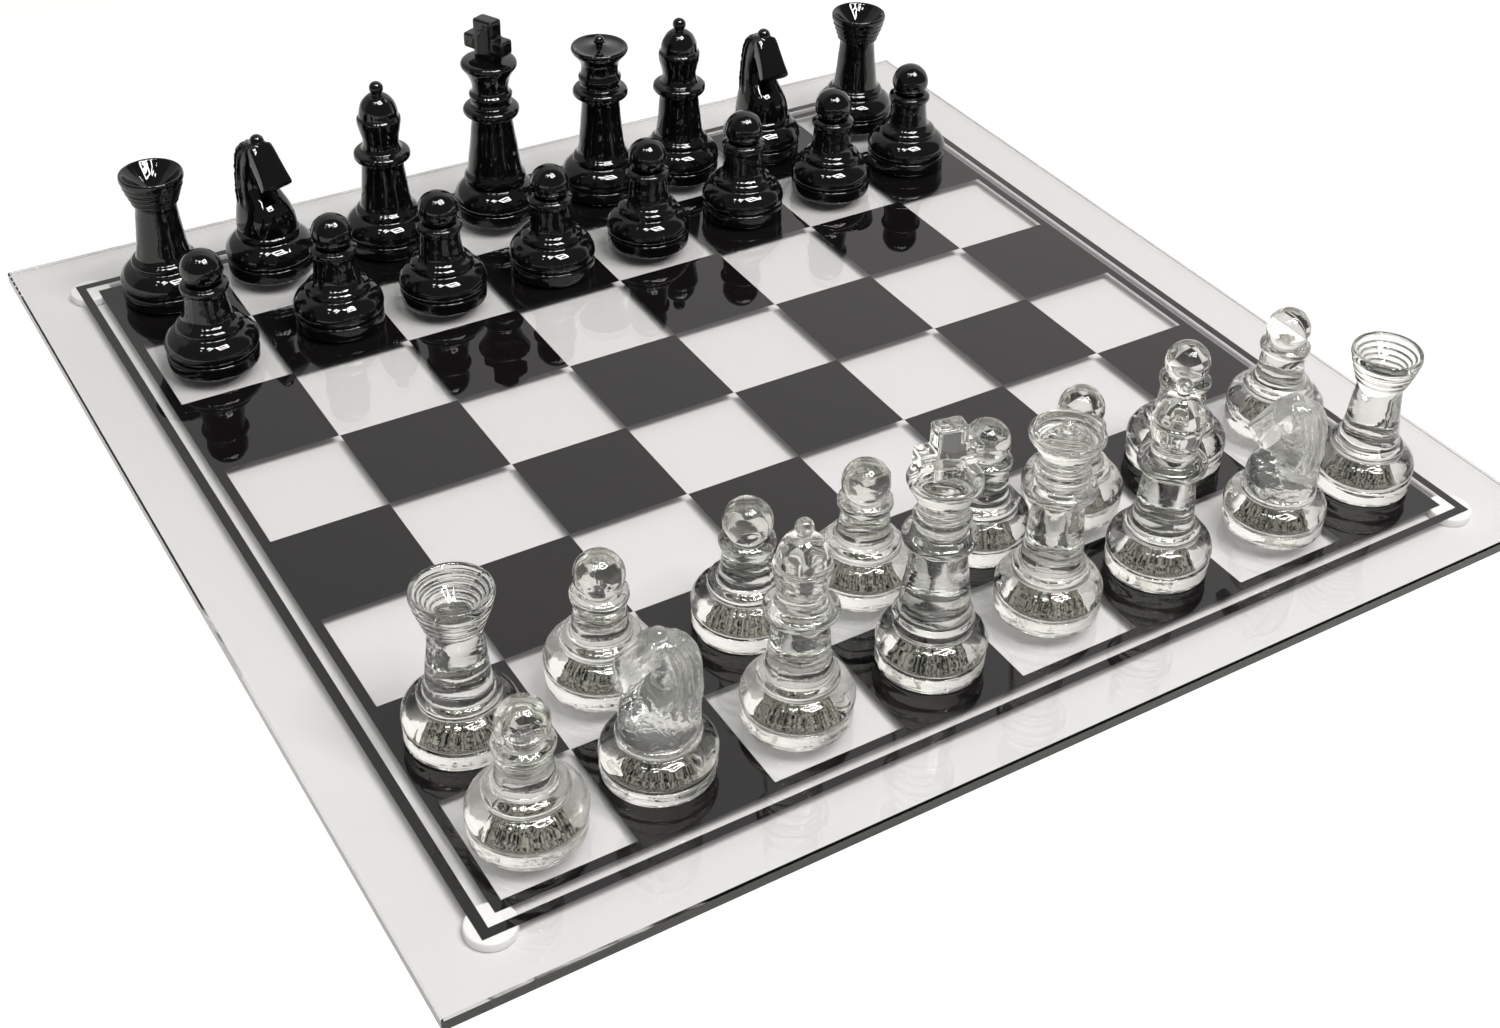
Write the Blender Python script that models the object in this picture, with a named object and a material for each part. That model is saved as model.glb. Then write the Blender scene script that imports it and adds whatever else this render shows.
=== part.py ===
"""Glass chess set with board.

A square pane of clear glass stands on four round bumpers and carries a black chequered print on
its underside. Thirty-two one-piece moulded glass men stand on it: sixteen clear and sixteen black.
Metres, +Z up. The origin is on the table under the middle of the board. The clear men stand along
the -Y edge and the black men along the +Y edge.
"""

import math

import bmesh
import bpy
from mathutils import Matrix

MM = 0.001

# Board: driving dimensions
SQUARE = 38.0 * MM
SQUARES = 8
PANE_WIDTH = 350.0 * MM
PANE_THICKNESS = 4.0 * MM
PANE_EDGE_BEVEL = 0.5 * MM
PRINT_THICKNESS = 0.2 * MM
PRINT_LINK = 0.2 * MM
INNER_LINE_WIDTH = 2.8 * MM
OUTER_LINE_OFFSET = 3.1 * MM
OUTER_LINE_WIDTH = 2.7 * MM
FOOT_DIAMETER = 12.8 * MM
FOOT_HEIGHT = 2.2 * MM
FOOT_BEVEL = 0.4 * MM
FOOT_OUTSET = 2.0 * MM
GAP = 0.3 * MM

# Heights of the stack, from the table up
FIELD = SQUARE * SQUARES
PRINT_Z = FOOT_HEIGHT + GAP
PANE_Z = PRINT_Z + PRINT_THICKNESS + GAP
STAND_Z = PANE_Z + PANE_THICKNESS + GAP

# Men: how finely they are turned, and the angle above which an edge is shaded sharp
SEGMENTS = 12
BALL_STEPS = 4
FINIAL_STEPS = 3
SHARP_ANGLE = math.radians(35)

# Every man has the same foot: a lipped disc, a bell and a shoulder. Outlines are (radius, height)
# in millimetres, read from the middle of the underside up to the tip.
FOOT_OUTLINE = [
    (0.0, 0.0),
    (14.0, 0.0),
    (14.5, 1.6),
    (14.1, 5.0),
    (14.6, 7.4),
    (13.2, 11.0),
    (10.6, 12.9),
    (10.3, 14.6),
]

PAWN_BALL_RADIUS = 6.7
PAWN_BALL_HEIGHT = 33.5
BISHOP_BALL_RADIUS = 2.4
BISHOP_BALL_HEIGHT = 59.7
QUEEN_BALL_RADIUS = 1.8
QUEEN_BALL_HEIGHT = 59.8
KNIGHT_BALL_RADIUS = 2.5
KNIGHT_BALL_HEIGHT = 46.3

# King's cross, in millimetres
CROSS_TOP = 75.5
CROSS_SPAN = 17.0
CROSS_THICKNESS = 5.6
CROSS_POST_WIDTH = 8.4
CROSS_ARM_LOW = 63.8
CROSS_ARM_HIGH = 69.0
CROSS_ROOT = 59.0

# Knight's neck and head seen from its right side, facing +X: (forward, height) in millimetres
KNIGHT_THICKNESS = 10.6
KNIGHT_EDGE_BEVEL = 1.2
KNIGHT_ROOT = 13.6
KNIGHT_OUTLINE = [
    (8.8, KNIGHT_ROOT),
    (9.8, 17.5),
    (9.4, 22.6),
    (6.2, 26.0),
    (2.8, 29.4),
    (4.6, 31.2),
    (8.2, 31.9),
    (11.2, 34.6),
    (10.2, 37.2),
    (5.6, 42.6),
    (3.0, 45.4),
    (-3.6, 45.6),
    (-8.2, 42.2),
    (-10.0, 34.0),
    (-10.3, 24.0),
    (-10.1, 17.0),
    (-8.8, KNIGHT_ROOT),
]

# The black men come from smaller moulds; the two colours of knight also differ in height
ARMY_SIZE = {"clear": 1.0, "black": 0.97}
KNIGHT_STRETCH = {"clear": 0.91, "black": 1.03}

# Which man stands where: name, kind, file, rank, shift along X and Y from the square's middle
# in millimetres (they were set down by hand), and turn about its own axis in degrees
CLEAR_MEN = [
    ("clear_rook_left", "rook", 0, 1, -2, -2, 0),
    ("clear_knight_left", "knight", 1, 0, -4, 1, 155),
    ("clear_bishop_left", "bishop", 2, 0, -3, 0, 0),
    ("clear_king", "king", 3, 0, 0, 0, -11),
    ("clear_queen", "queen", 4, 0, 2, 2, 0),
    ("clear_bishop_right", "bishop", 5, 0, 2, 1, 0),
    ("clear_knight_right", "knight", 6, 0, 6, -1, 155),
    ("clear_rook_right", "rook", 7, 0, 5, 1, 0),
    ("clear_pawn_1", "pawn", 0, 0, -2, -1, 0),
    ("clear_pawn_2", "pawn", 1, 1, -1, -1, 0),
    ("clear_pawn_3", "pawn", 2, 1, 4, -1, 0),
    ("clear_pawn_4", "pawn", 3, 1, 2, -2, 0),
    ("clear_pawn_5", "pawn", 4, 1, 3, -3, 0),
    ("clear_pawn_6", "pawn", 5, 1, -2, -3, 0),
    ("clear_pawn_7", "pawn", 6, 1, 2, 0, 0),
    ("clear_pawn_8", "pawn", 7, 1, 3, -1, 0),
]
BLACK_MEN = [
    ("black_rook_left", "rook", 0, 7, 0, 4, 0),
    ("black_knight_left", "knight", 1, 7, -3, 5, -76),
    ("black_bishop_left", "bishop", 2, 7, -1, 1, 0),
    ("black_king", "king", 3, 7, 2, 3, -64),
    ("black_queen", "queen", 4, 7, 4, 0, 0),
    ("black_bishop_right", "bishop", 5, 7, -3, -1, 0),
    ("black_knight_right", "knight", 6, 7, -6, -1, -93),
    ("black_rook_right", "rook", 7, 7, 0, 3, 0),
    ("black_pawn_1", "pawn", 0, 6, 0, -2, 0),
    ("black_pawn_2", "pawn", 1, 6, 4, 0, 0),
    ("black_pawn_3", "pawn", 2, 6, 1, -2, 0),
    ("black_pawn_4", "pawn", 3, 6, 2, -3, 0),
    ("black_pawn_5", "pawn", 4, 6, 1, -2, 0),
    ("black_pawn_6", "pawn", 5, 6, 2, 0, 0),
    ("black_pawn_7", "pawn", 6, 6, 1, 0, 0),
    ("black_pawn_8", "pawn", 7, 6, -1, 4, 0),
]


def clear_scene():
    """Remove every object that is already in the scene."""
    for obj in list(bpy.data.objects):
        bpy.data.objects.remove(obj, do_unlink=True)


def make_material(name, colour, roughness):
    """A Principled material with one colour and one gloss."""
    material = bpy.data.materials.new(name)
    material.use_nodes = True
    shader = material.node_tree.nodes["Principled BSDF"]
    shader.inputs["Base Color"].default_value = (*colour, 1.0)
    shader.inputs["Roughness"].default_value = roughness
    return material


def mesh_from(name, bm, smooth=True):
    """Turn a bmesh into a mesh, with outward normals and smooth shading where asked."""
    bmesh.ops.recalc_face_normals(bm, faces=bm.faces)
    mesh = bpy.data.meshes.new(name)
    bm.to_mesh(mesh)
    bm.free()
    if smooth:
        mesh.shade_smooth()
        mesh.set_sharp_from_angle(angle=SHARP_ANGLE)
    return mesh


def place(name, mesh, material, location=(0.0, 0.0, 0.0), turn=0.0):
    """Add an object with its own material slot at a place and a turn about Z."""
    obj = bpy.data.objects.new(name, mesh)
    bpy.context.scene.collection.objects.link(obj)
    if not mesh.materials:
        mesh.materials.append(None)
    obj.material_slots[0].link = "OBJECT"
    obj.material_slots[0].material = material
    obj.location = location
    obj.rotation_euler = (0.0, 0.0, turn)
    return obj


def bevelled_box(width, depth, height, bevel):
    """A box standing on its origin, with all its edges chamfered."""
    bm = bmesh.new()
    bmesh.ops.create_cube(bm, size=1.0)
    bmesh.ops.scale(bm, vec=(width, depth, height), verts=bm.verts)
    bmesh.ops.translate(bm, vec=(0.0, 0.0, height / 2), verts=bm.verts)
    bmesh.ops.bevel(bm, geom=bm.edges[:], offset=bevel, segments=1, affect="EDGES")
    return bm


def ball(height, radius, start, steps):
    """Outline points up a ball's side, from an angle below its middle to its top."""
    angles = [start + (math.pi / 2 - start) * k / steps for k in range(steps + 1)]
    points = [(radius * math.cos(a), height + radius * math.sin(a)) for a in angles]
    points[-1] = (0.0, height + radius)
    return points


def turned(outline):
    """Turn an outline of (radius, height) in millimetres about the Z axis."""
    bm = bmesh.new()
    rings = []
    for radius, height in outline:
        if radius == 0.0:
            rings.append([bm.verts.new((0.0, 0.0, height * MM))])
            continue
        angles = [2 * math.pi * k / SEGMENTS for k in range(SEGMENTS)]
        r = radius * MM
        rings.append([bm.verts.new((r * math.cos(a), r * math.sin(a), height * MM)) for a in angles])
    for low, high in zip(rings, rings[1:]):
        for k in range(SEGMENTS):
            after = (k + 1) % SEGMENTS
            corners = [low[k % len(low)], low[after % len(low)]]
            corners += [high[after % len(high)], high[k % len(high)]]
            bm.faces.new(list(dict.fromkeys(corners)))
    return bm


def prism(outline, thickness):
    """Extrude an upright outline of (x, z) in millimetres symmetrically along Y."""
    bm = bmesh.new()
    half = thickness * MM / 2
    front = bm.faces.new([bm.verts.new((x * MM, -half, z * MM)) for x, z in outline])
    grown = bmesh.ops.extrude_face_region(bm, geom=[front])
    moved = [v for v in grown["geom"] if isinstance(v, bmesh.types.BMVert)]
    bmesh.ops.translate(bm, vec=(0.0, 2 * half, 0.0), verts=moved)
    return bm


def fused(name, body, *additions):
    """Join the additions to the body with exact Boolean unions, as one moulding."""
    base = bpy.data.objects.new(name, mesh_from(name, body))
    bpy.context.scene.collection.objects.link(base)
    tools = []
    for index, addition in enumerate(additions):
        tool_name = f"{name}_tool_{index}"
        tool = bpy.data.objects.new(tool_name, mesh_from(tool_name, addition))
        bpy.context.scene.collection.objects.link(tool)
        tools.append(tool)
        union = base.modifiers.new(f"union_{index}", "BOOLEAN")
        union.operation = "UNION"
        union.solver = "EXACT"
        union.object = tool
    evaluated = base.evaluated_get(bpy.context.evaluated_depsgraph_get())
    mesh = bpy.data.meshes.new_from_object(evaluated)
    mesh.name = name
    mesh.shade_smooth()
    mesh.set_sharp_from_angle(angle=SHARP_ANGLE)
    for obj in [base, *tools]:
        bpy.data.objects.remove(obj, do_unlink=True)
    return mesh


def pawn_mesh():
    """A pawn: tapered neck, round collar and ball head."""
    neck = [(7.5, 17.0), (6.6, 26.0), (7.6, 27.4), (6.0, 29.4)]
    head = ball(PAWN_BALL_HEIGHT, PAWN_BALL_RADIUS, math.radians(-30), BALL_STEPS)
    return mesh_from("pawn", turned(FOOT_OUTLINE + neck + head))


def rook_mesh():
    """A rook: tapered column, a crown that widens upwards and a funnel sunk in its top."""
    column = [(8.4, 17.0), (6.8, 33.6)]
    crown = [(8.4, 38.4), (10.0, 43.4), (10.2, 45.6), (9.5, 45.9)]
    funnel = [(5.0, 41.8), (0.0, 38.9)]
    return mesh_from("rook", turned(FOOT_OUTLINE + column + crown + funnel))


def bishop_mesh():
    """A bishop: tapered column, big collar, egg-shaped mitre and a small ball."""
    column = [(8.4, 17.2), (6.8, 33.0), (9.3, 34.6), (9.3, 36.6), (6.2, 38.2)]
    mitre = [(6.2, 41.0), (7.1, 47.6), (6.2, 53.0), (3.6, 56.6)]
    finial = ball(BISHOP_BALL_HEIGHT, BISHOP_BALL_RADIUS, math.radians(-40), FINIAL_STEPS)
    return mesh_from("bishop", turned(FOOT_OUTLINE + column + mitre + finial))


def queen_mesh():
    """A queen: long column, collar, ring, and a wide shallow dish with a small ball in it."""
    column = [(8.5, 17.6), (6.8, 37.4), (9.7, 39.2), (9.7, 41.2), (6.8, 42.8)]
    neck = [(7.4, 46.0), (6.6, 49.4)]
    dish = [(9.8, 55.8), (10.0, 57.4), (9.2, 57.9), (2.6, 57.8)]
    finial = ball(QUEEN_BALL_HEIGHT, QUEEN_BALL_RADIUS, math.radians(-30), FINIAL_STEPS)
    return mesh_from("queen", turned(FOOT_OUTLINE + column + neck + dish + finial))


def king_mesh():
    """A king: long column, collar, ring, flared cup and a thick cross fused on top."""
    column = [(9.8, 17.8), (7.2, 38.6), (9.6, 40.2), (9.6, 42.4), (7.0, 44.0)]
    cup = [(7.4, 47.2), (6.4, 50.2), (9.4, 58.0), (9.2, 60.0), (0.0, 61.2)]
    post = CROSS_POST_WIDTH / 2
    arm = CROSS_SPAN / 2
    right = [(post, CROSS_ROOT), (post, CROSS_ARM_LOW), (arm, CROSS_ARM_LOW)]
    right += [(arm, CROSS_ARM_HIGH), (post, CROSS_ARM_HIGH), (post, CROSS_TOP)]
    left = [(-x, z) for x, z in reversed(right)]
    cross = prism(right + left, CROSS_THICKNESS)
    return fused("king", turned(FOOT_OUTLINE + column + cup), cross)


def knight_mesh():
    """A knight: the common foot, a horse's head cut from a thick slab and a small ball."""
    stump = turned(FOOT_OUTLINE + [(9.6, 18.0), (7.6, 22.6), (0.0, 24.0)])
    horse = prism(KNIGHT_OUTLINE, KNIGHT_THICKNESS)
    finial = turned(ball(KNIGHT_BALL_HEIGHT, KNIGHT_BALL_RADIUS, -math.pi / 2, BALL_STEPS))
    return fused("knight", stump, horse, finial)


def print_cells():
    """Cut positions across the field, and the test of which cells between them are inked.

    Black squares are grown by half a link on every side, so that two that meet at a corner are
    joined there. The inner border line runs round just inside the field's edge.
    """
    half = FIELD / 2
    lines = [(k - SQUARES / 2) * SQUARE for k in range(1, SQUARES)]
    inner = [line + side * PRINT_LINK / 2 for line in lines for side in (-1, 1)]
    cuts = [-half, -half + INNER_LINE_WIDTH, *inner, half - INNER_LINE_WIDTH, half]

    def near(position):
        place_in_field = (position + half) / SQUARE
        grow = PRINT_LINK / 2 / SQUARE
        return {math.floor(place_in_field - grow), math.floor(place_in_field + grow)}

    def inked(x, y):
        if max(abs(x), abs(y)) > half - INNER_LINE_WIDTH:
            return True
        return any((i + j) % 2 == 1 for i in near(x) for j in near(y))

    return cuts, inked


def checker_mesh():
    """The inked squares and the inner border line as one thin flat sheet with square windows."""
    cuts, inked = print_cells()
    count = len(cuts) - 1
    middles = [(a + b) / 2 for a, b in zip(cuts, cuts[1:])]
    filled = {(i, j) for i in range(count) for j in range(count) if inked(middles[i], middles[j])}
    bm = bmesh.new()
    corners = {}

    def corner(i, j, top):
        if (i, j, top) not in corners:
            corners[i, j, top] = bm.verts.new((cuts[i], cuts[j], PRINT_THICKNESS * top))
        return corners[i, j, top]

    for i, j in sorted(filled):
        loop = [(i, j), (i + 1, j), (i + 1, j + 1), (i, j + 1)]
        bm.faces.new([corner(a, b, 1) for a, b in loop])
        bm.faces.new([corner(a, b, 0) for a, b in reversed(loop)])
        beyond = [(i, j - 1), (i + 1, j), (i, j + 1), (i - 1, j)]
        for side, outside in enumerate(beyond):
            if outside in filled:
                continue
            start, end = loop[side], loop[(side + 1) % 4]
            wall = [corner(*start, 0), corner(*end, 0), corner(*end, 1), corner(*start, 1)]
            bm.faces.new(wall)
    return mesh_from("checker_print", bm, smooth=False)


def frame_mesh(inner, width, thickness):
    """A flat square frame: its inner half width, the width of its line and its thickness."""
    bm = bmesh.new()
    sides = [(-1, -1), (1, -1), (1, 1), (-1, 1)]
    loops = []
    for half, z in ((inner + width, 0.0), (inner + width, thickness), (inner, thickness), (inner, 0.0)):
        loops.append([bm.verts.new((x * half, y * half, z)) for x, y in sides])
    for low, high in zip(loops, loops[1:] + loops[:1]):
        for k in range(4):
            after = (k + 1) % 4
            bm.faces.new([low[k], low[after], high[after], high[k]])
    return mesh_from("outer_border_print", bm, smooth=False)


def foot_mesh():
    """A round bumper with a softened rim."""
    r = FOOT_DIAMETER / 2 / MM
    h = FOOT_HEIGHT / MM
    b = FOOT_BEVEL / MM
    outline = [(0.0, 0.0), (r - b, 0.0), (r, b), (r, h - b), (r - b, h), (0.0, h)]
    return mesh_from("foot", turned(outline))


def make_board():
    """The pane, its print and its four feet."""
    glass = make_material("pane_glass", (0.82, 0.86, 0.85), 0.03)
    ink = make_material("black_ink", (0.015, 0.015, 0.016), 0.25)
    bumper = make_material("bumper_rubber", (0.86, 0.86, 0.84), 0.45)
    block = bevelled_box(PANE_WIDTH, PANE_WIDTH, PANE_THICKNESS, PANE_EDGE_BEVEL)
    pane = mesh_from("glass_board", block, smooth=False)
    place("glass_board", pane, glass, (0.0, 0.0, PANE_Z))
    place("checker_print", checker_mesh(), ink, (0.0, 0.0, PRINT_Z))
    outer = frame_mesh(FIELD / 2 + OUTER_LINE_OFFSET, OUTER_LINE_WIDTH, PRINT_THICKNESS)
    place("outer_border_print", outer, ink, (0.0, 0.0, PRINT_Z))
    foot = foot_mesh()
    reach = FIELD / 2 + FOOT_OUTSET
    corners = {"front_left": (-1, -1), "front_right": (1, -1), "back_left": (-1, 1), "back_right": (1, 1)}
    for label, (x, y) in corners.items():
        place(f"foot_{label}", foot, bumper, (x * reach, y * reach, 0.0))


def make_men():
    """Both armies. Men of one kind and colour share one mesh and stand on their own axes."""
    armies = {
        "clear": (CLEAR_MEN, make_material("clear_glass", (0.80, 0.83, 0.80), 0.04)),
        "black": (BLACK_MEN, make_material("black_glass", (0.010, 0.010, 0.012), 0.06)),
    }
    makers = {
        "pawn": pawn_mesh,
        "rook": rook_mesh,
        "knight": knight_mesh,
        "bishop": bishop_mesh,
        "queen": queen_mesh,
        "king": king_mesh,
    }
    for army, (men, material) in armies.items():
        meshes = {kind: maker() for kind, maker in makers.items()}
        for kind, mesh in meshes.items():
            width = ARMY_SIZE[army]
            height = width * (KNIGHT_STRETCH[army] if kind == "knight" else 1.0)
            mesh.transform(Matrix.Diagonal((width, width, height, 1.0)))
        for name, kind, file, rank, shift_x, shift_y, turn in men:
            x = (file + 0.5 - SQUARES / 2) * SQUARE + shift_x * MM
            y = (rank + 0.5 - SQUARES / 2) * SQUARE + shift_y * MM
            place(name, meshes[kind], material, (x, y, STAND_Z), math.radians(turn))


def main():
    clear_scene()
    make_board()
    make_men()


main()
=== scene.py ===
"""Looks of a glass chess set with board: moulded clear and black men on a printed glass pane.

Laid out as a Blender add-on and run as a script. Lengths in the outlines are millimetres, as a
pattern maker writes them; everything that reaches a mesh is in metres, in the frame's own axes.
"""

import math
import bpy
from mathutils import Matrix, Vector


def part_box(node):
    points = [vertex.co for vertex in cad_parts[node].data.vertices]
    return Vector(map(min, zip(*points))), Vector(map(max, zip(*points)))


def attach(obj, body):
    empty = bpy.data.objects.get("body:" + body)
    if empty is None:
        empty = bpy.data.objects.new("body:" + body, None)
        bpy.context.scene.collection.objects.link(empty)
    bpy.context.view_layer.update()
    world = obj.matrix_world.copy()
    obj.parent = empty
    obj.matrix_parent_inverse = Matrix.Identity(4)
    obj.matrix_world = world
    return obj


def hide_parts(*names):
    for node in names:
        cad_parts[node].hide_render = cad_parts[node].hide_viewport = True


bl_info = {
    "name": "Glass Chess Set",
    "version": (1, 0, 0),
    "blender": (4, 5, 0),
    "location": "View3D > Sidebar > Chess Set",
    "description": "Moulded glass chess men on a printed glass board",
    "category": "Add Mesh",
}

import bpy
import numpy as np
from bpy.props import FloatProperty, FloatVectorProperty, IntProperty, PointerProperty
from mathutils import Matrix

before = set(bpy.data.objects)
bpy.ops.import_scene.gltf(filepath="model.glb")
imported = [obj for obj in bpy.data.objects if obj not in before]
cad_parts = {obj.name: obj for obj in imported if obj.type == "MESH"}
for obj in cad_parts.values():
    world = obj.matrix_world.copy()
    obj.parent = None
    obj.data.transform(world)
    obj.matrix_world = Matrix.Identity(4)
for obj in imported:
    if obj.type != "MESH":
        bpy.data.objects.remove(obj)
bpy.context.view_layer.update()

MM = 0.001
TAU = 2 * math.pi

# Which way the camera looks, in degrees from +Y towards +X
VIEW_AZIMUTH = 31.0

PANE_LOW, PANE_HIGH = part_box("glass_board")
PRINT_LOW, PRINT_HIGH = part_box("checker_print")
SQUARES = 8
FIELD = PRINT_HIGH.x - PRINT_LOW.x
SQUARE = FIELD / SQUARES
STAND_Z = PANE_HIGH.z + 0.02 * MM

# The men of each kind, and how far those that have a face are turned about their own axis
PAWNS = [f"{army}_pawn_{k}" for army in ("clear", "black") for k in range(1, 9)]
PAIRS = [f"{army}_{{}}_{side}" for army in ("clear", "black") for side in ("left", "right")]
ROOKS = [pair.format("rook") for pair in PAIRS]
KNIGHTS = [pair.format("knight") for pair in PAIRS]
BISHOPS = [pair.format("bishop") for pair in PAIRS]
QUEENS = ["clear_queen", "black_queen"]
KINGS = ["clear_king", "black_king"]
TURNS = {
    "clear_knight_left": 155,
    "clear_knight_right": 155,
    "black_knight_left": -76,
    "black_knight_right": -93,
    "clear_king": -11,
    "black_king": -64,
}

# The black men come from smaller moulds
ARMY_SIZE = {"clear": 1.0, "black": 0.97}

# Outlines of the turned men: (radius, height) in millimetres, from the underside's middle to the
# tip. They are corner points; the drawn curve runs smoothly between them.
FOOT = [
    (0.0, 0.35),
    (4.0, 0.35),
    (6.4, 0.35),
    (6.8, 0.35),
    (12.2, 0.35),
    (12.9, 0.0),
    (13.8, 0.0),
    (14.4, 0.5),
    (14.5, 2.2),
    (14.5, 4.3),
    (14.3, 4.9),
    (13.5, 5.1),
    (13.4, 5.5),
    (14.2, 5.8),
    (14.7, 6.4),
    (14.8, 7.6),
    (14.4, 9.2),
    (13.5, 10.7),
    (12.3, 11.8),
    (11.3, 12.4),
    (10.6, 12.7),
    (10.4, 13.1),
    (10.6, 13.6),
]
PAWN = [
    (10.5, 14.3),
    (9.8, 15.1),
    (8.4, 15.8),
    (7.6, 16.8),
    (7.2, 18.6),
    (6.9, 21.6),
    (6.6, 25.0),
    (6.6, 26.2),
    (7.4, 26.4),
    (7.7, 27.0),
    (7.6, 28.2),
    (6.9, 28.7),
    (6.2, 29.1),
]
ROOK = [
    (10.6, 14.3),
    (9.9, 15.1),
    (8.9, 15.6),
    (8.4, 17.2),
    (7.7, 23.0),
    (7.0, 30.0),
    (6.7, 33.2),
    (6.8, 34.8),
]
ROOK_RINGS = 4
ROOK_RING_FOOT = (7.1, 35.4)
ROOK_RING_STEP = (0.66, 1.95)
ROOK_RING = [(0.0, 0.0), (0.55, 0.25), (0.75, 1.0), (0.5, 1.65)]
ROOK_RIM = [
    (9.7, 43.2),
    (10.2, 43.6),
    (10.4, 44.8),
    (10.1, 45.9),
    (9.5, 45.9),
    (8.9, 45.3),
    (7.2, 43.5),
    (4.4, 41.0),
    (1.6, 39.2),
    (0.0, 38.9),
]
BISHOP = [
    (10.6, 14.3),
    (9.9, 15.1),
    (9.0, 15.7),
    (8.5, 17.2),
    (7.9, 23.4),
    (7.2, 30.6),
    (7.1, 33.0),
    (7.7, 33.5),
    (9.2, 33.7),
    (9.7, 34.6),
    (9.6, 36.0),
    (8.7, 36.8),
    (7.0, 37.2),
    (6.6, 38.0),
    (6.2, 39.2),
    (6.1, 41.0),
    (6.7, 43.6),
    (7.3, 46.2),
    (7.5, 48.2),
    (7.4, 49.1),
    (6.8, 49.5),
    (6.6, 50.1),
    (6.5, 51.8),
    (5.9, 53.8),
    (4.7, 55.8),
    (3.2, 57.1),
    (1.8, 57.5),
]
QUEEN = [
    (10.7, 14.4),
    (10.0, 15.3),
    (9.0, 16.0),
    (8.5, 17.6),
    (7.6, 26.2),
    (6.9, 35.2),
    (6.8, 37.6),
    (7.5, 38.6),
    (9.4, 38.8),
    (10.0, 39.7),
    (9.9, 41.2),
    (8.9, 42.0),
    (7.2, 42.3),
    (6.8, 43.2),
    (6.8, 44.2),
    (7.7, 44.8),
    (7.7, 46.4),
    (7.0, 47.1),
    (6.6, 48.8),
    (6.7, 50.6),
    (7.3, 52.4),
    (8.6, 54.2),
    (9.8, 55.6),
    (10.2, 56.6),
    (10.2, 57.4),
    (9.7, 57.9),
    (9.0, 57.6),
    (7.8, 57.0),
    (5.0, 57.2),
    (2.6, 57.8),
    (1.4, 58.3),
]
KING = [
    (10.9, 14.4),
    (10.9, 16.0),
    (10.3, 17.0),
    (9.7, 17.7),
    (9.4, 19.4),
    (8.4, 27.6),
    (7.3, 36.2),
    (7.1, 38.6),
    (7.7, 39.5),
    (9.3, 39.8),
    (9.9, 40.7),
    (9.8, 42.2),
    (8.8, 43.0),
    (7.1, 43.4),
    (6.7, 44.5),
    (6.8, 45.8),
    (7.6, 46.4),
    (7.6, 47.7),
    (6.6, 48.4),
    (6.3, 50.2),
    (6.6, 52.3),
    (7.6, 54.8),
    (9.0, 57.0),
    (9.8, 58.2),
    (9.8, 59.3),
    (9.1, 60.2),
    (7.0, 60.6),
    (3.0, 61.0),
    (0.0, 61.1),
]
KNIGHT_STUMP = [(10.8, 14.0), (10.4, 14.8), (9.4, 15.4), (5.0, 16.2), (0.0, 16.4)]

# Balls: middle height and radius
PAWN_BALL = (33.5, 6.7)
BISHOP_BALL = (59.7, 2.4)
QUEEN_BALL = (59.8, 1.8)
KNIGHT_BALL = (46.3, 2.5)

# Knight's neck in level slices: height, back, front, half width
KNIGHT_NECK = [
    (13.2, -9.2, 9.0, 8.8),
    (14.8, -10.0, 9.7, 9.5),
    (17.5, -10.4, 9.9, 9.5),
    (21.0, -10.3, 9.8, 8.8),
    (24.0, -10.3, 8.6, 7.8),
    (26.2, -10.3, 6.2, 6.9),
    (28.0, -10.2, 3.8, 6.4),
    (30.0, -10.1, 2.2, 6.0),
    (33.0, -10.0, 1.6, 5.7),
    (37.0, -9.8, 2.6, 5.6),
    (40.5, -9.2, 3.6, 5.4),
    (43.2, -7.8, 3.8, 4.9),
    (45.0, -5.6, 3.0, 4.0),
    (46.0, -2.8, 1.4, 2.2),
    (46.2, -0.6, 0.2, 0.5),
]
# Knight's head in slices square to the line from poll to muzzle: share of the way, half depth,
# half width
KNIGHT_POLL = (0.8, 43.4)
KNIGHT_MUZZLE = (9.3, 33.0)
KNIGHT_HEAD = [
    (-0.14, 0.3, 0.3),
    (-0.12, 2.4, 3.6),
    (-0.04, 3.0, 4.3),
    (0.3, 3.1, 4.5),
    (0.7, 2.8, 4.9),
    (0.95, 2.3, 5.5),
    (1.0, 2.0, 5.4),
    (1.02, 1.6, 5.0),
    (1.03, 0.2, 0.4),
]
MANE_GROOVES = 18
MANE_DEPTH = 1.1
MANE_ROOT = 24.0

# A clear man's underside is ground dull in the middle, and a clear knight's horse is left frosted:
# the disc's radius, how far up faces still count as underside, and where the frosting begins
GROUND_RADIUS = 6.8
UNDERSIDE_REACH = 0.6
FROST_HEIGHT = 12.5

# King's cross: heights and half sizes
CROSS_ROOT = 59.4
CROSS_TOP = 75.5
CROSS_ARM_HEIGHT = 66.4
CROSS_ARM_HALF_SPAN = 8.6
CROSS_ARM_HALF_DEPTH = 2.7
CROSS_POST_HALF_WIDTH = 4.2
CROSS_HALF_THICKNESS = 2.9
CROSS_BEVEL = 0.7


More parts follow.
